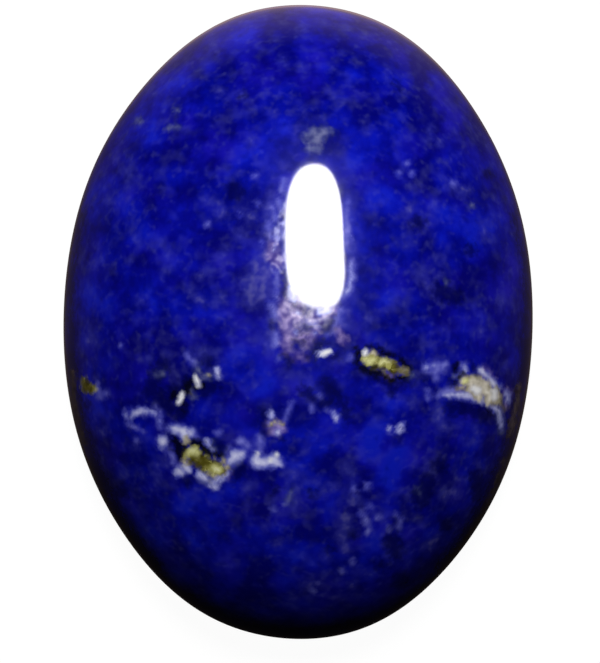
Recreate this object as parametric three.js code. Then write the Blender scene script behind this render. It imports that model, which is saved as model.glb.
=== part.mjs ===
// An oval cabochon of lapis lazuli: one piece of rock, ground flat at the back and polished to a high
// dome at the front. It lies on its flat back. Units are millimetres and +Z is up. The origin is the
// centre of the oval at the back, the long axis is along Y and the short axis along X.

import * as THREE from 'three';

// The whole stone.
const LENGTH = 30;
const WIDTH = 22.2;
const HEIGHT = 9;

// The back edge is ground off at 45 degrees, so that it doesn't chip.
const BACK_CHAMFER = 0.4;

// The girdle is the short side wall that a setting grips. It leans in a little towards the dome.
const GIRDLE_TOP = 1.4;
const GIRDLE_LEAN = 0.1;

// The dome's section is a superellipse: (radius / rim)^SPREAD + (height / rise)^FULLNESS = 1.
// With 2 and 2 it would be a plain ellipse. A higher SPREAD flattens the crown, and a lower FULLNESS
// takes material off the shoulder above the girdle.
const DOME_SPREAD = 2.2;
const DOME_FULLNESS = 1.7;

// The outline is ground by hand, so it strays a little from a true oval. Each wave goes round the
// outline `lobes` times, and its `cos` and `sin` are fractions of the radius.
const OUTLINE_WAVES = [
  { lobes: 2, cos: 0.0015, sin: 0.0032 },
  { lobes: 3, cos: -0.0024, sin: 0 },
  { lobes: 8, cos: -0.0021, sin: 0.001 },
];

// The facets of the solid.
const SEGMENTS_AROUND = 80;
const RINGS_ON_DOME = 22;

const LAPIS_BLUE = 0x10148c;

// The section from the centre of the back to the top of the dome. Radii are fractions of the oval's
// radius, and heights are in millimetres.
function sectionPoints() {
  const chamferRadius = 1 - BACK_CHAMFER / (WIDTH / 2);
  const rimRadius = 1 - GIRDLE_LEAN / (WIDTH / 2);
  const rise = HEIGHT - GIRDLE_TOP;
  const points = [
    new THREE.Vector2(0, 0),
    new THREE.Vector2(chamferRadius, 0),
    new THREE.Vector2(1, BACK_CHAMFER),
  ];
  for (let ring = 0; ring < RINGS_ON_DOME; ring += 1) {
    const angle = (Math.PI / 2) * (ring / RINGS_ON_DOME);
    const radius = rimRadius * Math.cos(angle) ** (2 / DOME_SPREAD);
    const height = GIRDLE_TOP + rise * Math.sin(angle) ** (2 / DOME_FULLNESS);
    points.push(new THREE.Vector2(radius, height));
  }
  points.push(new THREE.Vector2(0, HEIGHT));
  return points;
}

// How far the outline strays from the oval in the direction `angle`, as a fraction of the radius.
function outlineStray(angle) {
  let stray = 0;
  for (const wave of OUTLINE_WAVES) {
    stray += wave.cos * Math.cos(wave.lobes * angle) + wave.sin * Math.sin(wave.lobes * angle);
  }
  return stray;
}

// Turns the round solid of radius 1 into the oval one, and centres it on the origin.
function makeOval(geometry) {
  const position = geometry.attributes.position;
  for (let index = 0; index < position.count; index += 1) {
    const x = position.getX(index);
    const y = position.getY(index);
    const reach = 1 + outlineStray(Math.atan2(y, x));
    position.setXY(index, x * reach, y * reach);
  }
  geometry.computeBoundingBox();
  const size = geometry.boundingBox.getSize(new THREE.Vector3());
  const middle = geometry.boundingBox.getCenter(new THREE.Vector3());
  geometry.translate(-middle.x, -middle.y, 0);
  geometry.scale(WIDTH / size.x, LENGTH / size.y, 1);
  geometry.computeVertexNormals();
}

function makeCabochon() {
  const geometry = new THREE.LatheGeometry(sectionPoints(), SEGMENTS_AROUND);
  geometry.rotateX(Math.PI / 2);
  makeOval(geometry);
  const polishedLapis = new THREE.MeshStandardMaterial({
    color: LAPIS_BLUE,
    roughness: 0.12,
    metalness: 0,
  });
  const mesh = new THREE.Mesh(geometry, polishedLapis);
  mesh.name = 'cabochon';
  return mesh;
}

const stone = new THREE.Group();
stone.add(makeCabochon());

export default stone;
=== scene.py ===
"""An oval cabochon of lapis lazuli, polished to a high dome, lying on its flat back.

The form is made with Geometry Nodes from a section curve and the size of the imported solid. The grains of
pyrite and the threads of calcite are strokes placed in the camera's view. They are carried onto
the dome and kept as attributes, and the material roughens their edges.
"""

import math

import bpy
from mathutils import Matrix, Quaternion, Vector, kdtree


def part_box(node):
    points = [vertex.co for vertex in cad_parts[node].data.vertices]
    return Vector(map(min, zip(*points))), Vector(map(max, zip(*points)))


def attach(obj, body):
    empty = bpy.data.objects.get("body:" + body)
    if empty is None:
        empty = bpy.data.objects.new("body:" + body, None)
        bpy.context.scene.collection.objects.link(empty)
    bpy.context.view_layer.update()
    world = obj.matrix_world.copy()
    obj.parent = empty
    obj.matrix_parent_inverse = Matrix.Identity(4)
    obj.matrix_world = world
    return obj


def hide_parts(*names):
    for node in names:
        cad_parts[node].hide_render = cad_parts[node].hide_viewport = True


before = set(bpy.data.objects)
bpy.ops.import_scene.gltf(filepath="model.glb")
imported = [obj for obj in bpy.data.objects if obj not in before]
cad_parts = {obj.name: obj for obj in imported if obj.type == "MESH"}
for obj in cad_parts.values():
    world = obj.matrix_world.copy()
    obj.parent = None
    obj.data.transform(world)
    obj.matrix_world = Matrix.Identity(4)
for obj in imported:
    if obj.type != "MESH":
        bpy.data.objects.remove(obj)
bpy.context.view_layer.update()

MM = 0.001

# ---------------------------------------------------------------- the form, as ground by the cutter
low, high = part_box("cabochon")
WIDTH = high.x - low.x
LENGTH = high.y - low.y
HEIGHT = high.z - low.z
BACK_CHAMFER = 0.4 * MM
GIRDLE_TOP = 1.4 * MM
GIRDLE_LEAN = 0.1 * MM
DOME_SPREAD = 2.2
DOME_FULLNESS = 1.7
OUTLINE_WAVES = [  # lobes, cosine part and sine part, as fractions of the radius
    (2, 0.0015, 0.0032),
    (3, -0.0024, 0.0),
    (8, -0.0021, 0.001),
]
SHOULDER_ROUNDING = 0.2 * MM  # where the polishing pad has softened an edge
CHAMFER_ROUNDING = 0.07 * MM

MEAN_RADIUS = (WIDTH + LENGTH) / 4  # of the round that is stretched to the oval
SECTION_STEPS = 240
CORNER_STEPS = 6

# The form's grid: a cube of quads that is pulled round the stone, so that it has no pole.
QUADS_ACROSS = 164
QUADS_DOWN_SIDE = 58
CROWN_SHARE = 0.345  # of the section's length, covered by the cube's top
SIDE_SHARE = 0.235  # of the section's length, covered by the cube's sides
UNDERSIDE = -0.9999  # just above the cube's underside, which lies at -1

# The two ovals of the texture map: the dome with the girdle, and the back seen from below.
DOME_MIDDLE = Vector((0.365, 0.5))
DOME_REACH = Vector((0.355, 0.485))
BACK_MIDDLE = Vector((0.865, 0.2))
BACK_REACH = Vector((-0.125, 0.17))

# ---------------------------------------------------------------- grains, threads and patches
# Each stroke is a list of points (column, row, half width) in pixels of the camera's view, counted from
# its upper left corner. The view has the size that stands under "the view and the lights".
AZURE = [  # patches of the purest blue
    [(176, 84, 15), (165, 102, 10)], [(212, 62, 9)], [(156, 134, 11)], [(234, 38, 9)],
    [(286, 92, 11), (268, 112, 11), (280, 122, 11)], [(365, 145, 17), (352, 160, 10)], [(352, 78, 8)],
    [(444, 215, 15), (440, 240, 9)], [(440, 184, 9)], [(384, 302, 9)], [(134, 214, 11), (141, 232, 13)],
    [(84, 288, 9), (82, 306, 8)], [(92, 335, 9)], [(186, 302, 15), (210, 298, 10)], [(175, 178, 11)],
    [(228, 214, 14)], [(380, 205, 16)], [(364, 232, 10), (364, 262, 11), (360, 284, 9)],
    [(395, 330, 13), (378, 336, 8)], [(385, 405, 13), (373, 430, 15), (370, 448, 12)],
    [(398, 452, 11), (383, 478, 9)], [(240, 365, 18), (262, 384, 16)], [(292, 424, 11), (322, 450, 11)],
    [(365, 388, 10)], [(112, 425, 11)], [(300, 553, 9)], [(280, 545, 11)], [(374, 540, 9)],
    [(228, 492, 9)], [(190, 500, 10), (172, 512, 9)],
]
DEEP = [  # patches of deeper blue
    [(115, 180, 13), (145, 178, 8)], [(180, 250, 13), (208, 246, 13), (232, 240, 9)], [(175, 273, 12)],
    [(237, 266, 11)], [(384, 82, 15), (376, 58, 18)], [(388, 100, 11), (414, 100, 11), (412, 124, 8)],
    [(265, 34, 11), (266, 65, 15)], [(285, 34, 8)], [(332, 34, 10), (356, 32, 11)],
    [(415, 272, 13), (440, 272, 9)], [(132, 302, 10)], [(81, 362, 14)], [(476, 336, 12), (498, 356, 9)],
    [(446, 484, 9)], [(294, 574, 9)], [(238, 599, 12)], [(508, 378, 11), (501, 408, 11)], [(110, 476, 8)],
    [(140, 302, 8)], [(145, 396, 11), (172, 392, 11)], [(325, 392, 11)], [(356, 424, 9)],
    [(415, 510, 15), (442, 512, 12)], [(206, 121, 12)], [(414, 478, 9)], [(265, 512, 13)],
    [(292, 484, 8)], [(145, 516, 8)],
]
VIOLET_AND_PAINTED_HAZE = [  # patches that lean to purple, and painted haze of the lamp's reflection beside its place on the crown
    [(401, 52, 7)], [(423, 66, 6)], [(444, 93, 6)], [(116, 145, 12), (106, 165, 8)], [(160, 71, 5)],
    # the first stroke on this line is painted haze of the lamp's reflection
    [(255, 274, 11), (254, 293, 13), (262, 305, 9)], [(247, 412, 8)], [(120, 385, 16)], [(455, 493, 12)],
    [(410, 535, 8)], [(470, 410, 10)], [(115, 455, 12)], [(172, 378, 8)], [(232, 442, 6)],
    # the stroke from (352, 318) on this line is painted haze beside the lamp's reflection
    [(345, 515, 12), (348, 540, 12)], [(395, 590, 14)], [(459, 276, 6)], [(352, 318, 6), (358, 338, 8)],
    [(335, 365, 9)],
]
MIST_AND_PAINTED_HAZE = [  # a trace of calcite in the blue, and painted haze of the lamp's reflection round its place on the crown
    # below the middle
    [(293, 473, 6)], [(313, 483, 5)], [(334, 485, 5)], [(294, 486, 4), (297, 495, 4), (292, 508, 4)],
    [(278, 543, 4)], [(353, 499, 7)], [(344, 518, 8), (342, 534, 9), (346, 548, 6)],
    [(352, 527, 2.4), (357, 532, 2)], [(325, 556, 5)], [(324, 574, 4)], [(357, 572, 3)],
    [(337, 579, 3.4)], [(309, 583, 5)], [(291, 597, 5)], [(428, 545, 6), (436, 538, 4)], [(397, 552, 4)],
    [(345, 468, 6), (352, 475, 4)], [(323, 492, 4)], [(386, 545, 4)], [(370, 574, 3)], [(305, 580, 4)],
    [(352, 585, 4)], [(419, 488, 3.6)], [(455, 478, 4)], [(445, 494, 6), (455, 493, 5)],
    [(263, 527, 2.4)],
    # on the left
    [(137, 437, 3.6), (136, 445, 4)], [(102, 431, 2.6)], [(166, 352, 2.4)], [(113, 366, 2.4)],
    [(124, 475, 3)], [(90, 340, 5)], [(165, 463, 4)], [(155, 467, 5), (158, 482, 4)], [(150, 358, 2.4)],
    [(203, 353, 4), (215, 352, 5)], [(217, 410, 4)], [(110, 199, 5)],
    [(123, 168, 2.6), (131, 175, 3), (127, 186, 2.6)], [(150, 90, 4.4)], [(206, 198, 5), (222, 212, 6)],
    [(237, 234, 6)], [(223, 253, 5)], [(250, 215, 5)], [(208, 270, 5)], [(190, 290, 4), (200, 300, 4)],
    [(140, 300, 4)], [(246, 490, 4), (250, 484, 3)], [(213, 302, 4), (222, 298, 5)], [(240, 211, 5)],
    [(199, 276, 4)], [(264, 407, 4)],
    # round the lamp's place on the crown: painted haze of the lamp's reflection, apart from the last four
    # strokes, which lie in the rock below it
    [(270, 196, 5), (271, 220, 8), (269, 238, 9), (266, 256, 10), (266, 276, 11), (262, 294, 9)],
    [(257, 264, 9), (252, 282, 12), (250, 300, 8)], [(345, 308, 5), (344, 325, 6)],
    [(348, 198, 4), (348, 216, 4), (350, 240, 5), (352, 262, 5)], [(272, 320, 7), (270, 345, 6)],
    [(270, 330, 4)], [(284, 166, 3)], [(304, 377, 3), (311, 384, 4)], [(318, 393, 4)], [(305, 399, 3)],
    [(332, 362, 3), (340, 359, 4)],
    # on the right
    [(439, 143, 4)], [(405, 136, 3)], [(429, 128, 2.8), (429, 138, 2.8)], [(408, 210, 5)],
    [(463, 191, 6)], [(484, 236, 5), (482, 222, 3), (489, 224, 3)], [(438, 261, 5)],
    [(421, 275, 5), (430, 280, 3)], [(440, 275, 3)],
    [(439, 405, 4), (438, 419, 6), (446, 428, 5), (456, 425, 4)], [(413, 406, 3)], [(505, 366, 4)],
    [(512, 374, 2.4)], [(466, 439, 3.4), (476, 441, 3)], [(477, 425, 2.4), (476, 433, 2.4)],
    [(388, 349, 3)], [(418, 384, 3.8)], [(370, 318, 5)], [(480, 330, 5)], [(500, 300, 4)],
    # near the far end
    [(283, 60, 4)], [(302, 67, 4)], [(212, 44, 4)], [(218, 90, 4)], [(272, 114, 3)],
    [(252, 140, 5)], [(300, 30, 4)],
]
VEIL_AND_PAINTED_HAZE = [  # calcite so thin that the blue shows through it, and painted haze of the lamp's reflection round its place on the crown
    # on the left
    [(160, 411, 2.4), (159, 420, 2.8), (159, 427, 2.2)], [(137, 440, 2)], [(239, 213, 1.8)],
    # the strokes at (262, 243) and (327, 334) on this line are painted haze of the lamp's reflection
    [(155, 403, 1.4), (156, 408, 1.4)], [(262, 243, 2.8)], [(327, 334, 2.4)],
    [(127, 424, 1.8), (135, 427, 2.2), (142, 431, 2)], [(125, 410, 2), (126, 417, 2.2)],
    [(133, 412, 4.4), (144, 411, 3.4), (154, 412, 3)], [(120, 345, 2)],
    [(97, 384, 2), (99, 396, 3.2), (105, 393, 3.4)], [(170, 449, 2.6), (173, 456, 2.8), (174, 462, 2.6)],
    [(187, 355, 3), (194, 364, 2)], [(255, 176, 2.4)], [(257, 203, 2.8)], [(207, 223, 2.4)],
    # round the nest and the fleck
    [(259, 437, 4), (260, 444, 4.4), (258, 452, 3.4)], [(240, 441, 4.4), (246, 445, 3.6)],
    [(326, 408, 1.6), (331, 410, 2.4), (335, 414, 3)], [(311, 405, 2.2), (311, 411, 1.6)],
    [(318, 394, 1.8), (320, 397, 1.6)],
    [(292, 401, 1.6), (288, 409, 2.2), (285, 417, 2.2), (282, 427, 2)],
    [(270, 423, 4.4), (277, 426, 5), (276, 432, 3.6)], [(218, 432, 3.6)], [(229, 447, 2.4)],
    [(206, 484, 2.4), (215, 487, 2.8)],
    [(167, 427, 2.2), (174, 428, 4.2), (181, 431, 6), (190, 432, 5), (196, 438, 3.2)], [(162, 441, 5.8)],
    [(167, 449, 2.6), (171, 455, 2.6)], [(179, 470, 6), (185, 468, 5)],
    [(200, 475, 5.4), (207, 480, 5), (214, 483, 4.6), (222, 476, 5.4)], [(210, 476, 6), (217, 477, 6)],
    [(226, 466, 5.4), (235, 457, 8), (241, 453, 5.4)], [(226, 451, 3)],
    [(255, 461, 6.8), (265, 461, 7), (272, 461, 6.4), (280, 463, 4)],
    # on the right
    [(425, 367, 4), (434, 365, 5.6), (444, 364, 3.6)], [(427, 371, 3), (435, 371, 5.4), (436, 377, 4)],
    [(442, 368, 4.4)], [(427, 390, 2), (428, 397, 2.4)],
    [(437, 396, 2.6), (446, 392, 5.4), (455, 390, 7.6), (464, 391, 8), (474, 394, 7), (484, 397, 3)],
    [(456, 376, 3.4), (462, 374, 4)], [(463, 366, 4.2)], [(479, 369, 4), (485, 375, 5), (493, 384, 4.4)],
    [(506, 393, 3.4), (507, 401, 3)], [(474, 376, 4), (484, 381, 6)], [(350, 357, 3.4)],
    [(389, 427, 2), (389, 430, 2)], [(400, 426, 2.6), (400, 430, 2.4)],
    [(398, 173, 2.8)], [(411, 173, 2.8)], [(406, 163, 2.4)], [(453, 183, 3.4)],
    # below the middle
    [(353, 487, 2.4), (354, 491, 2.2)], [(367, 486, 3.6)], [(369, 506, 2.8)],
    [(360, 512, 2.2), (365, 518, 2.8), (369, 526, 2.4), (366, 533, 1.8)], [(378, 517, 3.2)],
    [(395, 514, 1.8), (400, 518, 2.2), (398, 527, 1.8)], [(387, 526, 2.4), (389, 531, 1.8)],
    [(352, 561, 3)], [(342, 571, 3.4)], [(313, 591, 2.6)], [(318, 583, 1.8)], [(273, 509, 2.8)],
    [(283, 504, 1.8), (288, 500, 2.2)],
    # round the lamp's place on the crown: painted haze of the lamp's reflection
    [(269, 225, 4)], [(277, 238, 2.4)], [(283, 178, 2), (281, 189, 2.8)],
    [(279, 200, 3.4), (280, 208, 2.6)], [(272, 208, 2.4), (275, 217, 3.4)],
    [(268, 227, 4)], [(282, 222, 2), (281, 236, 2.4)],
    [(276, 270, 2), (277, 286, 2.4), (277, 300, 2.6)], [(277, 240, 3), (272, 237, 3)],
    [(271, 304, 4.4), (277, 316, 4.6)], [(276, 334, 3.6), (275, 345, 3.6)], [(278, 358, 3.2)],
    [(347, 200, 2), (346, 216, 2.4), (347, 232, 4), (347, 250, 2.6)], [(337, 319, 6), (334, 330, 4)],
    [(351, 262, 3), (351, 276, 3.6), (349, 287, 3.4), (343, 297, 3)], [(339, 310, 4), (337, 324, 4)],
]
MAUVE_AND_PAINTED_HAZE = [  # painted pink haze of the lamp's reflection, and mauve spots in the rock elsewhere
    # painted haze round the lamp's reflection
    [(272, 246, 4.6), (273, 254, 6), (278, 261, 4.6)], [(291, 284, 4), (292, 294, 8), (290, 304, 8)],
    [(285, 302, 6), (287, 314, 8), (286, 326, 6), (288, 336, 6), (286, 349, 4)],
    [(298, 306, 8), (298, 316, 7), (294, 326, 5)], [(311, 315, 6), (320, 313, 9), (329, 309, 7)],
    [(321, 321, 3.4)], [(298, 336, 5), (311, 336, 5), (304, 345, 3)], [(295, 332, 5)], [(314, 332, 5)],
    [(297, 356, 4), (304, 357, 2.4)], [(336, 328, 2.4), (344, 340, 2.4)],
    # in the fleck under the crown and the wedge
    [(269, 425, 3), (276, 424, 4), (281, 427, 3)], [(271, 429, 3.6), (276, 430, 4.4)],
    [(458, 391, 3), (466, 391, 5)], [(484, 372, 4.4), (489, 378, 4)],
    [(507, 392, 3.6), (507, 399, 4.2), (504, 405, 3)],
    [(227, 472, 3.4)], [(184, 464, 2.8)], [(384, 373, 2), (389, 375, 2)],
]
DUSK_AND_RIM_SHADE = [  # patches of the darkest blue, and painted shade along the steep rim
    # on the left
    [(160, 366, 7), (150, 388, 8), (160, 398, 8), (172, 408, 5)], [(188, 384, 7), (172, 396, 8)],
    [(180, 411, 7)], [(203, 390, 6), (214, 386, 5)], [(207, 362, 5)],
    [(92, 460, 5), (96, 475, 6), (104, 490, 7)], [(120, 490, 7)], [(243, 466, 5), (236, 474, 5)],
    [(222, 450, 5), (216, 444, 4)], [(170, 437, 4), (170, 446, 3)], [(188, 480, 4)], [(86, 405, 4)],
    [(235, 190, 9)], [(274, 490, 4)], [(192, 478, 3)], [(242, 95, 3)], [(397, 86, 4)], [(281, 437, 2)],
    # painted shade along the steep left rim
    [
        (83, 216, 2), (72, 262, 3), (70, 295, 4), (71, 340, 4), (73, 376, 4), (80, 415, 5), (91, 452, 5),
        (122, 520, 5), (157, 565, 4),
    ],
    # in the middle, with the dark holes in the painted haze below the lamp's reflection and a painted dark
    # line along its left edge
    [(333, 358, 4), (338, 352, 3)], [(300, 329, 3.6), (307, 329, 3.6)],
    [(293, 342, 2.4), (304, 341, 2.6)], [(322, 329, 2.8), (329, 327, 3.2), (331, 319, 2.6)],
    [(293, 304, 1.6), (308, 313, 1.8)], [(320, 342, 4.4), (314, 349, 2.6)],
    [(285, 356, 3), (289, 362, 2.6)], [(310, 357, 3.2)], [(295, 343, 1.8)], [(272, 325, 2.4)],
    [(284, 276, 1.4), (285, 296, 2)], [(262, 410, 4), (265, 432, 3)], [(311, 492, 4)],
    [(301, 389, 3), (307, 392, 4), (313, 398, 3)], [(322, 402, 3), (330, 404, 3)],
    [(321, 380, 4), (330, 388, 5), (338, 397, 5), (345, 410, 5), (346, 420, 3)],
    # on the right
    [(515, 400, 6), (513, 420, 6), (508, 445, 6)], [(421, 497, 9), (428, 482, 7)], [(440, 465, 7)],
    [(475, 475, 6), (478, 495, 6)], [(392, 541, 9), (395, 556, 5)],
    [(374, 377, 3), (390, 382, 4.4), (408, 381, 4.4)], [(393, 522, 2.4)], [(353, 535, 3)],
    [(330, 549, 4)], [(380, 565, 5)], [(400, 580, 8)], [(445, 525, 6)],
    [(450, 408, 6), (470, 410, 6), (485, 416, 5)], [(426, 378, 3)], [(392, 390, 4)],
    [(357, 352, 3), (357, 364, 3)], [(474, 368, 3.4), (475, 374, 2.4)], [(452, 382, 3.6)],
    [(418, 223, 6)], [(488, 173, 5)], [(440, 290, 8), (456, 296, 8)], [(470, 250, 6)],
    # painted shade along the steep right rim
    [
        (513, 216, 2), (524, 262, 3), (526, 295, 4), (526, 340, 4), (523, 376, 5), (505, 452, 6),
        (473, 520, 5), (439, 565, 4),
    ],
]
ASH = [  # grey rock, where fine pyrite and calcite are mixed in
    [(304, 136, 3), (313, 132, 5), (316, 137, 7), (325, 131, 5)], [(330, 130, 3)],
    [(309, 148, 4), (318, 150, 3)], [(156, 374, 2), (163, 374, 2.4)],
    [(197, 368, 3.6), (202, 376, 2), (210, 375, 3.2)], [(190, 390, 3), (193, 396, 2.8)],
    [(209, 444, 3.4), (213, 451, 3)], [(222, 459, 2.6)], [(229, 463, 3.4), (234, 460, 4)],
    [(204, 478, 5), (210, 480, 6), (216, 480, 4.6)], [(407, 371, 3.4), (411, 375, 3.4)],
    [(462, 371, 2.4)], [(456, 376, 3.2)], [(501, 399, 2.8), (501, 408, 2.6)],
    [(498, 411, 3.2), (500, 419, 3.2), (501, 431, 2.6)], [(291, 492, 3), (288, 500, 2.6)], [(417, 489, 2)],
    [(138, 120, 3.4)], [(168, 127, 2), (177, 126, 1.4)], [(176, 109, 2.2)], [(471, 206, 2.6)],
    [(446, 281, 1.4)],
]
EARTH_AND_RIM_REFLECTION = [  # painted brown reflection along the stone's edge, and brown rock in the wedge and under the streak
    [(72, 372, 2), (73, 400, 2), (79, 425, 2), (84, 442, 2)],
    [(519, 385, 2.4), (517, 405, 3), (513, 422, 3.6), (509, 436, 3)],
    [(505, 460, 2), (494, 490, 2), (481, 515, 2), (466, 540, 2), (453, 556, 2)],
    [(500, 393, 1.8), (500, 402, 2.2), (503, 409, 2)], [(385, 375, 2), (391, 376, 2)],
]
BLACK = [  # black augite, mostly as a rim round the pyrite
    # round the streak on the right
    [(361, 367, 2.2), (369, 371, 3.4), (379, 373, 2.6)], [(384, 377, 1.4), (392, 379, 1.6)],
    [(399, 377, 1.8), (405, 377, 1.6)],
    [(367, 346, 1.2), (378, 349, 2), (386, 353, 2.4), (394, 356, 2)], [(357, 350, 2), (357, 362, 2)],
    [(399, 360, 2.4), (405, 364, 2.2), (410, 369, 1.6)],
    # round the nest and between the grains above it
    [(175, 438, 2.4), (178, 444, 4), (180, 451, 4.6), (181, 458, 3)], [(184, 446, 3)],
    [(193, 442, 4), (200, 444, 3.6)], [(204, 448, 3), (210, 453, 2.4)],
    [(215, 454, 2.4), (219, 455, 2)], [(189, 381, 2.4), (187, 386, 3.6), (186, 391, 2.4)],
    [(184, 402, 2.2), (183, 408, 1.4)], [(174, 391, 1.6), (172, 397, 2.2)], [(203, 384, 1.8)],
    [(195, 388, 2.2)],
    # in the wedge and under the crown
    [(456, 364, 2), (455, 370, 1.6)], [(455, 381, 1.8)], [(487, 408, 1.2), (494, 413, 1.2)],
    [(320, 349, 1.4), (316, 355, 1.8)],
]
CALCITE_AND_PAINTED_HAZE = [  # white calcite with the blue rock round and under it, and painted haze and highlight round the lamp's reflection
    # the nest on the left
    [(169, 427, 2), (175, 428, 4), (182, 431, 5.4), (184, 437, 3.6)], [(190, 432, 4)],
    [(162, 439, 4.2), (162, 443, 4.6)], [(178, 471, 5)], [(183, 465, 3.6), (189, 469, 3.4)],
    [(199, 474, 4), (205, 477, 2.6)], [(214, 482, 2), (219, 477, 3), (225, 472, 4)],
    [(241, 454, 4.2), (235, 455, 5.4), (229, 461, 3.2)],
    [(209, 485, 1.2), (215, 487, 2.2), (220, 481, 1.8)],
    [(257, 453, 2.8), (255, 461, 5), (264, 462, 5.4), (272, 461, 5.4), (279, 463, 3.2)],
    [(275, 455, 3.4)], [(206, 440, 2.2), (208, 444, 1.4), (211, 449, 0.8)],
    # the arc on the left
    [(126, 414, 1.8)],
    [(131, 417, 2.4), (134, 413, 3.2), (142, 410, 2.4), (149, 411, 1.8), (155, 413, 1.6)],
    [(159, 420, 1.6)],
    # the grains above the nest
    [(217, 369, 2.2), (217, 372, 2.4), (217, 376, 2)],
    # the fleck under the crown
    [(277, 432, 3.2)], [(271, 412, 2.8), (271, 416, 2.4)],
    [(333, 412, 1.8), (335, 416, 3.2), (336, 419, 2)],
    [(318, 354, 2.4), (324, 351, 3.4), (329, 351, 2.4)],
    # the wedge on the right and its tail
    [(426, 367, 2.6)], [(433, 365, 1.6)],
    [(443, 395, 1.4), (451, 394, 2.4), (460, 394, 3), (470, 395, 4.4), (480, 398, 4)], [(297, 312, 1.4)],
    # the four strokes on the next two lines and (297, 312) on the line above are painted haze and highlight
    # below the lamp's reflection
    [(295, 332, 1.6)], [(314, 333, 1.6)],
    [(291, 288, 3), (292, 297, 3)], [(318, 312, 3), (326, 309, 3)],
    [(481, 400, 2.4), (487, 402, 3.2), (493, 406, 3), (497, 411, 2.4)], [(464, 367, 3), (465, 370, 2.6)],
    [(507, 393, 2.6), (507, 400, 2.8)], [(498, 410, 2.4), (500, 418, 2), (501, 428, 1)],
    [(479, 369, 2), (484, 373, 2.6), (491, 381, 3.4), (497, 388, 3)], [(400, 425, 3), (400, 430, 3)],
    [(389, 429, 2.4)],
    # beside the lamp's place on the crown: painted haze of the lamp's reflection
    [(273, 249, 2.4)], [(350, 236, 1.4)], [(350, 263, 0.8), (351, 275, 1.4), (349, 286, 1), (345, 293, 1)],
]
CREAM = [  # calcite stained by the pyrite in it
    # in the nest and above it
    [(186, 440, 3)], [(226, 467, 2)], [(184, 462, 2.4)],
    [(209, 473, 2.4), (216, 474, 3), (223, 469, 3)], [(188, 462, 2)], [(223, 461, 2)], [(214, 458, 0.6)],
    [(269, 424, 0.2), (275, 421, 1.2), (282, 424, 0.3)], [(208, 374, 0.1)],
    # in the streak
    [(373, 353, 3), (374, 356, 2.4)], [(400, 370, 3), (406, 371, 1.6)], [(386, 370, 1.2)],
    # in the wedge
    [(464, 380, 4), (472, 380, 4.4), (480, 382, 4.8), (487, 386, 4)], [(456, 389, 0.4), (463, 387, 1.4)],
    [(470, 387, 5), (476, 391, 6), (478, 396, 4)], [(484, 389, 5), (489, 393, 6), (489, 400, 5)],
    [(495, 391, 4.2), (496, 400, 4)], [(466, 384, 3), (478, 387, 4), (490, 393, 4)],
]
PYRITE = [  # brass-yellow grains
    # the streak on the right
    [(366, 359, 3.8), (370, 360, 4.4), (376, 361, 3.6), (381, 362, 3.4), (386, 364, 5), (392, 367, 4.8)],
    [(390, 361, 2)],
    # the heart of the nest
    [(188, 454, 4), (194, 455, 6), (203, 461, 6), (213, 468, 6), (220, 470, 4.4)], [(194, 450, 3.8)],
    [(204, 467, 4)],
    # at the girdle on the left
    [(84, 379, 2), (86, 386, 4.6), (91, 388, 4)],
]
OLIVE = [  # faces of the pyrite that lie in shade
    [(195, 457, 2.6), (201, 458, 3.4), (203, 463, 4), (196, 463, 3)], [(189, 461, 2)], [(191, 394, 0.4)],
    [(394, 363, 2.2), (397, 368, 2.8), (394, 371, 2)],
    [(401, 371, 2.8), (405, 372, 2)], [(371, 366, 2), (375, 366, 3)], [(83, 381, 2.6), (87, 387, 5)],
]
UMBER = [  # dark rock between the faces of the pyrite
    [(379, 356, 1)], [(371, 367, 1.8), (375, 366, 1.4)], [(184, 449, 1.8)],
    [(203, 450, 1.8), (207, 452, 1)], [(462, 374, 2.2), (458, 377, 1.4)],
]
GLINT = [  # painted glints on the faces of the pyrite that catch the lamp
    [(366, 359, 2.8), (370, 361, 3), (374, 359, 2.2)], [(381, 362, 2), (384, 361, 2.2)],
    [(191, 450, 2.4), (194, 450, 2.8), (197, 452, 2.2)], [(188, 453, 1.6)],
    [(213, 467, 2.6), (218, 470, 3.2)], [(465, 381, 2.2)],
]
WHITE = [  # clean calcite that catches the eye first
    [(182, 393, 1.4), (181, 397, 1.8), (178, 402, 2)], [(195, 376, 1.4), (197, 381, 2), (198, 385, 1.6)],
    [(321, 354, 1.4), (325, 352, 2.2), (329, 351, 1.6)], [(365, 351, 2.2), (365, 353, 2)],
    [(473, 388, 2.6), (477, 390, 3.2)], [(494, 391, 2.4), (494, 397, 2.2)], [(270, 460, 1.6)],
    [(276, 454, 1.4)], [(257, 453, 1.2)],
]
SCUFF = [  # where the last polish is missing and the lamp's reflection breaks up
    [(281, 200, 2), (276, 225, 4), (276, 262, 5)], [(282, 290, 5), (290, 312, 8)],
    [(290, 325, 12), (322, 320, 12)], [(292, 342, 9), (310, 344, 7)], [(295, 286, 1.5), (298, 296, 3)],
]
STROKES = {
    "azure": AZURE,
    "deep": DEEP,
    "violet": VIOLET_AND_PAINTED_HAZE,
    "mist": MIST_AND_PAINTED_HAZE,
    "veil": VEIL_AND_PAINTED_HAZE,
    "blush": MAUVE_AND_PAINTED_HAZE,
    "dusk": DUSK_AND_RIM_SHADE,
    "ash": ASH,
    "earth": EARTH_AND_RIM_REFLECTION,
    "black": BLACK,
    "calcite": CALCITE_AND_PAINTED_HAZE,
    "cream": CREAM,
    "pyrite": PYRITE,
    "olive": OLIVE,
    "umber": UMBER,
    "glint": GLINT,
    "white": WHITE,
    "scuff": SCUFF,
}
OUTSIDE = -1.5  # millimetres, the value that an attribute has far from every stroke

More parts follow.
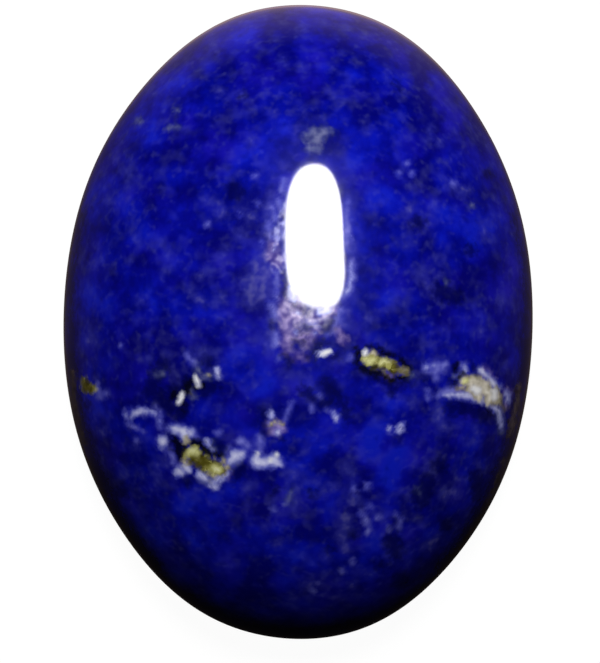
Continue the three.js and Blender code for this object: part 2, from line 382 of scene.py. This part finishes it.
# ---------------------------------------------------------------- the view and the lights
COLUMNS = 600
ROWS = 663
ROWS_ON_STONE = 634  # from the far end of the outline to the near end
PIXEL = LENGTH / ROWS_ON_STONE  # at the height of the outline
VIEW_CENTRE = Vector((0.09, -0.45, 0)) * MM
CAMERA_DISTANCE = 0.35
FILM_WIDTH = 36.0  # millimetres

LAMP_DISTANCE = 0.6
FLOOR_SIDE = 6.0
SHADE_INSET = 0.1 * MM  # from the stone's outline
SHADE_HEIGHT = 0.01 * MM
OVAL_STEPS = 96
PALE = "#fbfbfb"


# ---------------------------------------------------------------- objects, materials and node trees
def new_object(name, data):
    """A new object in the scene."""
    made = bpy.data.objects.new(name, data)
    bpy.context.scene.collection.objects.link(made)
    return made


def new_material(name):
    """A new material with an empty node tree."""
    material = bpy.data.materials.new(name)
    material.use_nodes = True
    material.node_tree.nodes.clear()
    return material


def linear(colour):
    """The linear colour, with alpha, of an sRGB hex value such as "#10148c"."""
    channels = [int(colour[start : start + 2], 16) / 255 for start in (1, 3, 5)]
    return (*((c / 12.92 if c <= 0.04045 else ((c + 0.055) / 1.055) ** 2.4) for c in channels), 1.0)


def add(tree, kind, inputs=(), out=0, **settings):
    """Adds a node and gives one of its outputs, or the node if it has none. An input takes a value, another
    node's output, or a sum such as ("MULTIPLY", a, b), which becomes a Math node."""
    node = tree.nodes.new(kind)
    for name, value in settings.items():
        setattr(node, name, value)
    for key, value in dict(inputs).items():
        if isinstance(value, tuple) and isinstance(value[0], str):
            value = add(tree, "ShaderNodeMath", enumerate(value[1:]), operation=value[0])
        if isinstance(value, bpy.types.NodeSocket):
            tree.links.new(value, node.inputs[key])
        else:
            node.inputs[key].default_value = value
    return node.outputs[out] if node.outputs else node


def combine(tree, operation, first, second):
    """One vector from two."""
    return add(tree, "ShaderNodeVectorMath", {0: first, 1: second}, operation=operation)


def split(tree, vector):
    """The X, Y and Z outputs of a vector."""
    return add(tree, "ShaderNodeSeparateXYZ", {0: vector}).node.outputs


def smooth_mask(tree, value, start, end, full=1.0):
    """A mask that rises smoothly from 0 at the start value to its full strength at the end value."""
    return add(
        tree,
        "ShaderNodeMapRange",
        {"Value": value, "From Min": start, "From Max": end, "To Max": full},
        interpolation_type="SMOOTHSTEP",
    )


def lay_over(tree, mask, below, above):
    """One colour over another, as far as the mask goes. Inputs 6 and 7 and output 2 are colours."""
    return add(tree, "ShaderNodeMix", {0: mask, 6: below, 7: above}, out=2, data_type="RGBA")


def ramp(tree, value, stops):
    """The colour that a value has on a ramp of (place, colour) stops."""
    shade = add(tree, "ShaderNodeValToRGB", {0: value})
    points = shade.node.color_ramp.elements
    points.remove(points[1])
    for index, (place, colour) in enumerate(stops):
        point = points.new(place) if index else points[0]
        point.position = place
        point.color = linear(colour)
    return shade


def evenly(colours):
    """Ramp stops at even steps from 0 to 1."""
    return [(index / (len(colours) - 1), colour) for index, colour in enumerate(colours)]


def swing(noise):
    """How far a noise, which runs from 0 to 1, is from its middle."""
    return ("SUBTRACT", noise, 0.5)


# ---------------------------------------------------------------- the form
def rounded(corners):
    """The points of a line of (point, rounding) pairs, with a small curve in place of each corner."""
    points = [corners[0][0]]
    for (before, _), (corner, rounding), (after, _) in zip(corners, corners[1:], corners[2:]):
        start = corner + (before - corner).normalized() * rounding
        end = corner + (after - corner).normalized() * rounding
        for step in range(CORNER_STEPS + 1):
            t = step / CORNER_STEPS
            points.append(start * (1 - t) ** 2 + corner * 2 * t * (1 - t) + end * t**2)
    points.append(corners[-1][0])
    return points


def section_curve():
    """Half of the stone's section, from the top of the dome to the centre of the back. X is the radius and
    Z the height."""
    rim = MEAN_RADIUS - GIRDLE_LEAN
    dome = []
    for step in range(SECTION_STEPS):
        angle = math.pi / 2 * (1 - step / SECTION_STEPS)
        radius = rim * math.cos(angle) ** (2 / DOME_SPREAD)
        height = GIRDLE_TOP + (HEIGHT - GIRDLE_TOP) * math.sin(angle) ** (2 / DOME_FULLNESS)
        dome.append(Vector((radius, 0, height)))
    shoulder = Vector((rim, 0, GIRDLE_TOP))
    dome = [point for point in dome if (point - shoulder).length > SHOULDER_ROUNDING]
    edge = rounded(
        [
            (dome[-1], 0),
            (shoulder, SHOULDER_ROUNDING),
            (Vector((MEAN_RADIUS, 0, BACK_CHAMFER)), CHAMFER_ROUNDING),
            (Vector((MEAN_RADIUS - BACK_CHAMFER, 0, 0)), CHAMFER_ROUNDING),
            (Vector((0, 0, 0)), 0),
        ]
    )
    points = dome[:-1] + edge
    curve = bpy.data.curves.new("section", "CURVE")
    curve.dimensions = "3D"
    spline = curve.splines.new("POLY")
    spline.points.add(len(points) - 1)
    for place, point in zip(spline.points, points):
        place.co = (*point, 1)
    return new_object("section", curve)


def form_tree():
    """The tree that pulls a cube of quads round the section."""
    tree = bpy.data.node_groups.new("ground_oval", "GeometryNodeTree")
    for name, kind in (
        ("Section", "Object"),
        ("Width", "Float"),
        ("Length", "Float"),
        ("Quads across", "Int"),
        ("Quads down side", "Int"),
        ("Finish", "Material"),
    ):
        tree.interface.new_socket(name, in_out="INPUT", socket_type="NodeSocket" + kind)
    tree.interface.new_socket("Stone", in_out="OUTPUT", socket_type="NodeSocketGeometry")
    given = tree.nodes.new("NodeGroupInput").outputs

    across = ("ADD", given["Quads across"], 1)
    down = ("ADD", given["Quads down side"], 1)
    cube = add(tree, "GeometryNodeMeshCube", {"Size": (2, 2, 2), 1: across, 2: across, 3: down})
    position = add(tree, "GeometryNodeInputPosition")
    place = split(tree, position)
    absolute = {0: ("ABSOLUTE", place[0]), 1: ("ABSOLUTE", place[1])}
    ring = add(tree, "ShaderNodeMath", absolute, operation="MAXIMUM")

    # How far along the section a point lies: the cube's top is the crown, its sides the flank, the girdle
    # and the chamfer, and its underside the back.
    down_side = ("MULTIPLY", ("SUBTRACT", 1, place[2]), SIDE_SHARE / 2)
    upper = ("ADD", ("MULTIPLY", ring, CROWN_SHARE), down_side)
    under = ("SUBTRACT", 1, ("MULTIPLY", ring, 1 - CROWN_SHARE - SIDE_SHARE))
    is_under = ("LESS_THAN", place[2], UNDERSIDE)
    along = add(tree, "ShaderNodeMix", {0: is_under, 2: upper, 3: under}, data_type="FLOAT")
    curve = add(tree, "GeometryNodeObjectInfo", {0: given["Section"]}, out="Geometry")
    sampled = add(
        tree,
        "GeometryNodeSampleCurve",
        {"Curves": curve, "Factor": along},
        out="Position",
        mode="FACTOR",
        use_all_curves=True,
    )
    section = split(tree, sampled)

    # The direction from the centre. The tangent spaces the points evenly round the oval.
    quarter = math.pi / 4
    east = ("TANGENT", ("MULTIPLY", ("DIVIDE", place[0], ring), quarter))
    north = ("TANGENT", ("MULTIPLY", ("DIVIDE", place[1], ring), quarter))
    turn = add(tree, "ShaderNodeMath", {0: north, 1: east}, operation="ARCTAN2")
    reach = 1
    for lobes, cosine, sine in OUTLINE_WAVES:
        lobe = ("MULTIPLY", turn, lobes)
        wave = ("ADD", ("MULTIPLY", ("COSINE", lobe), cosine), ("MULTIPLY", ("SINE", lobe), sine))
        reach = ("ADD", reach, wave)
    radius = add(tree, "ShaderNodeMath", {0: section[0], 1: reach}, operation="MULTIPLY")
    x = ("MULTIPLY", radius, ("COSINE", turn))
    y = ("MULTIPLY", radius, ("SINE", turn))
    oval = add(tree, "ShaderNodeCombineXYZ", {"X": x, "Y": y, "Z": section[2]})
    shaped = add(tree, "GeometryNodeSetPosition", {"Geometry": cube, "Position": oval})

    # Brought to the exact width and length, and centred.
    box = add(tree, "GeometryNodeBoundBox", {0: shaped}).node.outputs
    size = split(tree, combine(tree, "SUBTRACT", box["Max"], box["Min"]))
    middle = combine(tree, "MULTIPLY", combine(tree, "ADD", box["Max"], box["Min"]), (0.5, 0.5, 0))
    off_centre = combine(tree, "SUBTRACT", position, middle)
    wider = ("DIVIDE", given["Width"], size[0])
    longer = ("DIVIDE", given["Length"], size[1])
    stretch = add(tree, "ShaderNodeCombineXYZ", {"X": wider, "Y": longer, "Z": 1.0})
    sized = combine(tree, "MULTIPLY", off_centre, stretch)
    stone = add(tree, "GeometryNodeSetPosition", {"Geometry": shaped, "Position": sized})
    named = {"Geometry": stone, "Name": "along", "Value": along}
    stone = add(tree, "GeometryNodeStoreNamedAttribute", named)
    stone = add(tree, "GeometryNodeSetShadeSmooth", {"Geometry": stone})
    stone = add(tree, "GeometryNodeRealizeInstances", {"Geometry": stone})
    stone = add(tree, "GeometryNodeSetMaterial", {"Geometry": stone, "Material": given["Finish"]})
    result = tree.nodes.new("NodeGroupOutput")
    tree.links.new(stone, result.inputs["Stone"])
    return tree


def make_form(finish):
    """The stone as a plain mesh object."""
    section = section_curve()
    maker = new_object("form_maker", bpy.data.meshes.new("form_maker"))
    modifier = maker.modifiers.new("ground_oval", "NODES")
    modifier.node_group = form_tree()
    wanted = {
        "Section": section,
        "Width": WIDTH,
        "Length": LENGTH,
        "Quads across": QUADS_ACROSS,
        "Quads down side": QUADS_DOWN_SIDE,
        "Finish": finish,
    }
    for socket in modifier.node_group.interface.items_tree:
        if socket.in_out == "INPUT":
            modifier[socket.identifier] = wanted[socket.name]
    evaluated = maker.evaluated_get(bpy.context.evaluated_depsgraph_get())
    mesh = bpy.data.meshes.new_from_object(evaluated)
    for helper in (maker, section):
        bpy.data.objects.remove(helper)
    mesh.name = "polished_cabochon"
    return new_object("polished_cabochon", mesh)


# ---------------------------------------------------------------- where the grains lie
def on_dome(column, row, half_width):
    """The place (x, y, half width), in millimetres, that a stroke's point has on the dome. Each round
    brings the place nearer to the view's centre by as much as the dome there stands above the outline."""
    middle_of_pixel = (column + 0.5, row + 0.5)
    from_centre = Vector((middle_of_pixel[0] - COLUMNS / 2, ROWS / 2 - middle_of_pixel[1])) * PIXEL
    rounds = 8
    height = GIRDLE_TOP
    for _ in range(rounds):
        scale = (CAMERA_DISTANCE - height) / (CAMERA_DISTANCE - BACK_CHAMFER)
        place = VIEW_CENTRE.to_2d() + from_centre * scale
        share = min(1.0, math.hypot(2 * place.x / WIDTH, 2 * place.y / LENGTH))
        height = GIRDLE_TOP + (HEIGHT - GIRDLE_TOP) * (1 - share**DOME_SPREAD) ** (1 / DOME_FULLNESS)
    return (place.x / MM, place.y / MM, half_width * PIXEL * scale / MM)


def past_edge(point, start, end):
    """How far a point lies inside the stroke between two (x, y, half width) points, negative outside."""
    run = Vector((end[0] - start[0], end[1] - start[1]))
    offset = point - Vector(start[:2])
    share = 0.0
    if run.length_squared > 0:
        share = min(1.0, max(0.0, offset.dot(run) / run.length_squared))
    half_width = start[2] + (end[2] - start[2]) * share
    return half_width - (offset - run * share).length


def place_strokes(mesh):
    """Writes one attribute for each kind of mark: millimetres inside the nearest stroke's edge."""
    finder = kdtree.KDTree(len(mesh.vertices))
    for vertex in mesh.vertices:
        if vertex.co.z > BACK_CHAMFER / 2:
            finder.insert((vertex.co.x / MM, vertex.co.y / MM, 0), vertex.index)
    finder.balance()
    for name, strokes in STROKES.items():
        inside = [OUTSIDE] * len(mesh.vertices)
        for stroke in strokes:
            points = [on_dome(*point) for point in stroke]
            legs = list(zip(points, points[1:])) or [(points[0], points[0])]
            for start, end in legs:
                centre = ((start[0] + end[0]) / 2, (start[1] + end[1]) / 2, 0)
                reach = math.dist(start[:2], end[:2]) / 2 + max(start[2], end[2]) - OUTSIDE
                for place, index, _ in finder.find_range(centre, reach):
                    inside[index] = max(inside[index], past_edge(place.to_2d(), start, end))
        mesh.attributes.new(name, "FLOAT", "POINT").data.foreach_set("value", inside)


def lay_out_map(mesh):
    """A UV map with the dome and girdle as one large oval and the back as a small one beside it."""
    layer = mesh.uv_layers.new(name="OFBake")
    along = mesh.attributes["along"].data
    edge = CROWN_SHARE + SIDE_SHARE
    rounding_error = 1e-6
    for polygon in mesh.polygons:
        under = all(along[index].value > edge - rounding_error for index in polygon.vertices)
        for loop in polygon.loop_indices:
            index = mesh.loops[loop].vertex_index
            place = mesh.vertices[index].co
            direction = Vector((place.x / WIDTH, place.y / LENGTH)).normalized()
            if under:
                share = (1 - along[index].value) / (1 - edge)
                spot = BACK_MIDDLE + BACK_REACH * direction * share
            else:
                share = along[index].value / edge
                spot = DOME_MIDDLE + DOME_REACH * direction * share
            layer.data[loop].uv = spot


# ---------------------------------------------------------------- the finish
GLOSS = 0.06  # the roughness of the polish
WEAR = 0.18  # what worn places add to the roughness
WEAR_RAGGEDNESS = 2.0
BRASS = 0.2  # how metallic the pyrite is
CRYSTAL = 0.28 * MM
NOISES = (  # grain size in millimetres, number of octaves and strength of the finer ones
    ("cloud", 1.8, 3.0, 0.55),
    ("hue", 2.6, 2.0, 0.5),
    ("thickness", 2.3, 1.0, 0.5),
    ("speck", 0.36, 1.0, 0.4),
    ("fleck", 0.66, 1.0, 0.5),
    ("pepper", 0.5, 1.0, 0.5),
    ("blotch", 0.42, 1.0, 0.5),
    ("ragged", 0.28, 2.0, 0.5),
)
CLOUD_CONTRAST = 3.4
MEAN_TONE = 0.4  # on the ramps of blue, from 0 to 1
PATCH_CONTRAST = 0.42
HUE_CONTRAST = 3.5
MEAN_LEAN = 0.35  # from the pure blue to the purple one
THICKNESS_CONTRAST = 0.4
FACET_CONTRAST = 0.5
EDGE_TONE = 0.3  # on a mark's ramp, where its edge is
PURE_BLUES = ("#020472", "#030886", "#050c97", "#0711a7", "#0d1ab6")
PURPLE_BLUES = ("#06046c", "#090681", "#0d0a90", "#130f9d", "#1c18a8")
SPECKLES = (  # noise value where it starts and where it is full, strength and colour
    ("fleck", 0.44, 0.9, 0.14, "#585a9e"),
    ("speck", 0.5, 1.0, 0.14, "#6a6cac"),
    ("pepper", 0.46, 0.1, 0.42, "#020456"),
)


def polished_lapis():
    """Polished lapis lazuli: blue lazurite with white calcite and brassy pyrite, ground and buffed to a wet
    gloss. The eye gets a deep mottled blue, sharp lamp reflections and dark mirror-like edges."""
    material = new_material("polished_lapis_lazuli")
    tree = material.node_tree
    place = add(tree, "ShaderNodeTexCoord", out="Object")
    marks = {name: add(tree, "ShaderNodeAttribute", out="Fac", attribute_name=name) for name in STROKES}
    noises = {}
    for name, size, octaves, strength in NOISES:
        vector = combine(tree, "ADD", place, (size * MM, 0, 0))
        pattern = {"Vector": vector, "Scale": 1 / (size * MM), "Detail": octaves, "Roughness": strength}
        noises[name] = add(tree, "ShaderNodeTexNoise", pattern)
    crystals = add(tree, "ShaderNodeTexVoronoi", {"Vector": place, "Scale": 1 / CRYSTAL}, out="Color")

    # The blue rock, between a purer blue and one that leans to violet.
    masks = {}
    for name, feather in (("azure", 0.5), ("deep", 0.5), ("violet", 0.4)):
        masks[name] = smooth_mask(tree, marks[name], -feather, feather)
    patches = ("MULTIPLY", ("SUBTRACT", masks["azure"], masks["deep"]), PATCH_CONTRAST)
    tone = ("ADD", ("MULTIPLY_ADD", swing(noises["cloud"]), CLOUD_CONTRAST, MEAN_TONE), patches)
    lean = ("MULTIPLY_ADD", swing(noises["hue"]), HUE_CONTRAST, ("ADD", MEAN_LEAN, masks["violet"]))
    lean = ("MULTIPLY", ("SUBTRACT", 1, masks["azure"]), lean)
    pure = ramp(tree, tone, evenly(PURE_BLUES))
    purple = ramp(tree, tone, evenly(PURPLE_BLUES))
    colour = lay_over(tree, lean, pure, purple)

    # Flecks of calcite too small to place one by one, where the rock is paler, and dark pepper between them.
    paler = ("MULTIPLY", swing(noises["thickness"]), THICKNESS_CONTRAST)
    for name, start, end, strength, paint in SPECKLES:
        mask = smooth_mask(tree, ("ADD", noises[name], paler), start, end, strength)
        colour = lay_over(tree, mask, colour, linear(paint))

    # The placed marks, from the faintest to the brightest: where each starts and is full, in millimetres
    # inside its edge, how much it covers, how ragged it is, what varies its shade and how much, how fast
    # the shade rises inwards and its shades from the edge inwards.
    ragged = swing(noises["ragged"])
    mottle = swing(noises["blotch"])
    facets = ("MULTIPLY_ADD", swing(split(tree, crystals)[0]), FACET_CONTRAST, mottle)
    for name, start, end, strength, rough_edge, grain, contrast, rise, shades in (
        ("mist", -0.4, 0.35, 0.55, 0.7, mottle, 1.6, 1.0, ("#1a1c8c", "#3638a0", "#6866b0")),
        ("veil", -0.22, 0.16, 0.85, 0.4, mottle, 1.2, 2.0, ("#2c30ac", "#5c5ec4", "#8688e0")),
        ("blush", -0.3, 0.2, 0.85, 0.4, mottle, 1.7, 0.55, ("#3c3088", "#6e5ea4", "#a08cc8", "#e2cef0")),
        ("dusk", -0.3, 0.22, 0.75, 0.7, mottle, 2.0, 1.0, ("#02033c", "#030448")),
        ("ash", -0.28, 0.22, 0.75, 0.6, mottle, 1.2, 1.3, ("#1c2258", "#484e80", "#74789c", "#9898a8")),
        ("earth", -0.16, 0.1, 0.8, 0.5, mottle, 2.0, 1.5, ("#2a2022", "#6c5e58")),
        ("black", -0.2, 0.1, 0.95, 0.4, mottle, 1.5, 1.0, ("#06061e", "#020208")),
        # the calcite marks also hold painted haze and highlight beside the lamp's reflection
        ("calcite", -0.18, 0.12, 0.95, 0.45, mottle, 1.1, 3.0, ("#4e52bc", "#888cd6", "#b8baea", "#dadcfc")),
        ("cream", -0.18, 0.1, 0.93, 0.4, mottle, 1.3, 2.2, ("#7c7460", "#b0a88e", "#dad2bc", "#fffaec")),
        ("pyrite", -0.18, 0.12, 1.0, 0.35, facets, 1.4, 1.2, ("#4c4614", "#8a8638", "#bcb86a", "#dcda9c")),
        ("olive", -0.16, 0.1, 0.85, 0.3, facets, 1.0, 1.0, ("#463f10", "#6c6420")),
        ("umber", -0.14, 0.07, 0.9, 0.3, mottle, 1.5, 1.0, ("#14140c", "#2c2a10")),
        ("glint", -0.18, 0.08, 0.95, 0.35, facets, 0.6, 3.0, ("#bcba72", "#e4e49e", "#fffed4")),
        ("white", -0.15, 0.09, 1.0, 0.2, mottle, 1.0, 3.0, ("#c4c6dc", "#eeeef2", "#ffffff")),
    ):
        inside = ("MULTIPLY_ADD", ragged, rough_edge, marks[name])
        masks[name] = smooth_mask(tree, inside, start, end, strength)
        depth = ("MULTIPLY_ADD", grain, contrast, ("MULTIPLY_ADD", marks[name], rise, EDGE_TONE))
        colour = lay_over(tree, masks[name], colour, ramp(tree, depth, evenly(shades)))

    # Where the last polish is missing, the surface scatters the lamp in patches. The darkest rock keeps
    # its polish.
    inside = ("MULTIPLY_ADD", ragged, WEAR_RAGGEDNESS, marks["scuff"])
    scuff = smooth_mask(tree, inside, start=-0.35, end=0.4)
    patchy = smooth_mask(tree, noises["blotch"], start=0.3, end=0.68)
    worn = ("MULTIPLY", ("MULTIPLY", scuff, patchy), ("SUBTRACT", 1, masks["dusk"]))
    pyrite = ("MULTIPLY", masks["pyrite"], ("SUBTRACT", 1, masks["umber"]))
    finish = add(
        tree,
        "ShaderNodeBsdfPrincipled",
        {
            "Base Color": colour,
            "Metallic": ("MULTIPLY", pyrite, BRASS),
            "Roughness": ("MULTIPLY_ADD", worn, WEAR, GLOSS),
            "IOR": 1.5,
            "Coat Weight": 0.03,
            "Coat Roughness": 0.3,
        },
    )
    add(tree, "ShaderNodeOutputMaterial", {"Surface": finish})
    return material


# ---------------------------------------------------------------- the stage
def make_floor():
    """A plain pale floor. Seen in the stone's gloss it is left to the room, so that the edges stay dark."""
    mesh = bpy.data.meshes.new("floor")
    side = FLOOR_SIDE / 2
    corners = [(-side, -side, 0), (side, -side, 0), (side, side, 0), (-side, side, 0)]
    mesh.from_pydata(corners, [], [(0, 1, 2, 3)])
    floor = new_object("floor", mesh)
    material = new_material("pale_paper")
    tree = material.node_tree
    glow = add(tree, "ShaderNodeEmission", {"Color": linear(PALE), "Strength": 1.0})
    matt = add(tree, "ShaderNodeBsdfDiffuse", {"Color": linear("#4a4a4a")})
    both = add(tree, "ShaderNodeAddShader", {0: glow, 1: matt})
    add(tree, "ShaderNodeOutputMaterial", {"Surface": both})
    mesh.materials.append(material)
    floor.visible_glossy = False
    floor.visible_diffuse = False


def make_edge_shade():
    """A dark sheet, painted shade on the strip of floor that the stone keeps dark. The gloss of the
    ground-off edge sees it.
    """
    reach = [side / 2 - SHADE_INSET for side in (WIDTH, LENGTH)]
    turns = [2 * math.pi * step / OVAL_STEPS for step in range(OVAL_STEPS)]
    points = [(reach[0] * math.cos(turn), reach[1] * math.sin(turn), SHADE_HEIGHT) for turn in turns]
    mesh = bpy.data.meshes.new("edge_shade")
    mesh.from_pydata(points, [], [list(range(OVAL_STEPS))])
    material = new_material("painted_shade_paper")
    tree = material.node_tree
    matt = add(tree, "ShaderNodeBsdfDiffuse", {"Color": linear("#3c3c40")})
    add(tree, "ShaderNodeOutputMaterial", {"Surface": matt})
    mesh.materials.append(material)
    new_object("edge_shade", mesh)


def make_room():
    """Pale to the camera. In the stone's gloss it is dim, with a warm grey wall beyond the far end."""
    world = bpy.data.worlds.new("studio")
    bpy.context.scene.world = world
    world.use_nodes = True
    tree = world.node_tree
    tree.nodes.clear()
    direction = split(tree, add(tree, "ShaderNodeTexCoord", out="Generated"))
    # How far a direction turns towards the far end, from -1 to 1 and whatever its height.
    level = add(tree, "ShaderNodeCombineXYZ", {"X": direction["X"], "Y": direction["Y"]})
    level = add(tree, "ShaderNodeVectorMath", {0: level}, operation="NORMALIZE")
    turned = split(tree, level)["Y"]
    wall = (  # from the near end to the far end
        (0.0, "#0e0c0b"),
        (0.25, "#1c1715"),
        (0.5, "#423733"),
        (0.75, "#4c403d"),
        (0.83, "#64544f"),
        (0.9, "#897570"),
        (1.0, "#b79b94"),
    )
    around = ramp(tree, ("MULTIPLY_ADD", turned, 0.5, 0.5), wall)
    low_down = smooth_mask(tree, direction["Z"], start=0.1, end=-0.45)
    gloss = lay_over(tree, low_down, linear("#0c0a09"), around)
    dim = add(tree, "ShaderNodeBackground", {"Color": gloss, "Strength": 1.0})
    pale = add(tree, "ShaderNodeBackground", {"Color": linear(PALE), "Strength": 1.0})
    seen = add(tree, "ShaderNodeLightPath", out="Is Camera Ray")
    shown = add(tree, "ShaderNodeMixShader", {0: seen, 1: dim, 2: pale})
    add(tree, "ShaderNodeOutputWorld", {"Surface": shown})


def hang(lamp, tilt, turn):
    """Hangs a lamp so that it faces the stone with its long side along +Y. tilt is from overhead and turn
    is from +X, in degrees."""
    roll = math.radians(90 - turn)
    tilt, turn = math.radians(tilt), math.radians(turn)
    towards = Vector((math.sin(tilt) * math.cos(turn), math.sin(tilt) * math.sin(turn), math.cos(tilt)))
    lamp.location = towards * LAMP_DISTANCE + Vector((0, 0, HEIGHT))
    lamp.rotation_mode = "QUATERNION"
    lamp.rotation_quaternion = towards.to_track_quat("Z", "Y") @ Quaternion((0, 0, 1), roll)
    lamp.visible_camera = False


def make_window(tilt, turn, spread, bluntness, radiance):
    """A glowing blunt oval, seen only in the stone's gloss. spread is its two angular sizes in degrees, and
    bluntness is that of its far and near ends, where 2 and 2 would be a plain ellipse."""
    half_sizes = [LAMP_DISTANCE * math.tan(math.radians(angle / 2)) for angle in spread]
    points = []
    for step in range(OVAL_STEPS):
        angle = 2 * math.pi * step / OVAL_STEPS
        power = bluntness[0] if angle > math.pi else bluntness[1]
        place = [
            half_size * math.copysign(abs(part) ** (2 / power), part)
            for half_size, part in zip(half_sizes, (math.cos(angle), math.sin(angle)))
        ]
        points.append((*place, 0))
    mesh = bpy.data.meshes.new("window")
    mesh.from_pydata(points, [], [list(range(OVAL_STEPS))])
    material = new_material("window_glow")
    tree = material.node_tree
    glow = add(tree, "ShaderNodeEmission", {"Color": linear("#ffffff"), "Strength": radiance})
    add(tree, "ShaderNodeOutputMaterial", {"Surface": glow})
    mesh.materials.append(material)
    window = new_object("window", mesh)
    hang(window, tilt, turn)
    window.visible_diffuse = False
    window.visible_shadow = False


def make_soft_key(tilt, turn, spread, radiance):
    """A round softbox that lights the stone's colour and isn't seen in its gloss."""
    light = bpy.data.lights.new("soft_key", "AREA")
    light.shape = "DISK"
    light.size = 2 * LAMP_DISTANCE * math.tan(math.radians(spread / 2))
    light.energy = radiance * math.pi * (math.pi / 4 * light.size**2)
    lamp = new_object("soft_key", light)
    hang(lamp, tilt, turn)
    lamp.visible_glossy = False


def make_camera():
    """Straight above the stone, with the long axis upright."""
    camera = bpy.data.cameras.new("camera")
    camera.sensor_width = FILM_WIDTH
    camera.lens = FILM_WIDTH * (CAMERA_DISTANCE - BACK_CHAMFER) / (ROWS * PIXEL)
    camera.clip_start = 0.01
    camera.clip_end = 10.0
    viewer = new_object("camera", camera)
    viewer.location = VIEW_CENTRE + Vector((0, 0, CAMERA_DISTANCE))
    bpy.context.scene.camera = viewer


make_camera()
stone = make_form(polished_lapis())
place_strokes(stone.data)
lay_out_map(stone.data)
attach(stone, "root")
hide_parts("cabochon")

make_floor()
make_edge_shade()
make_room()
make_window(tilt=20.1, turn=73.3, spread=(20.5, 34.0), bluntness=(2.25, 3.2), radiance=32.0)
make_soft_key(tilt=38.0, turn=87.0, spread=30.0, radiance=18.0)
bpy.context.scene.view_settings.view_transform = "Standard"
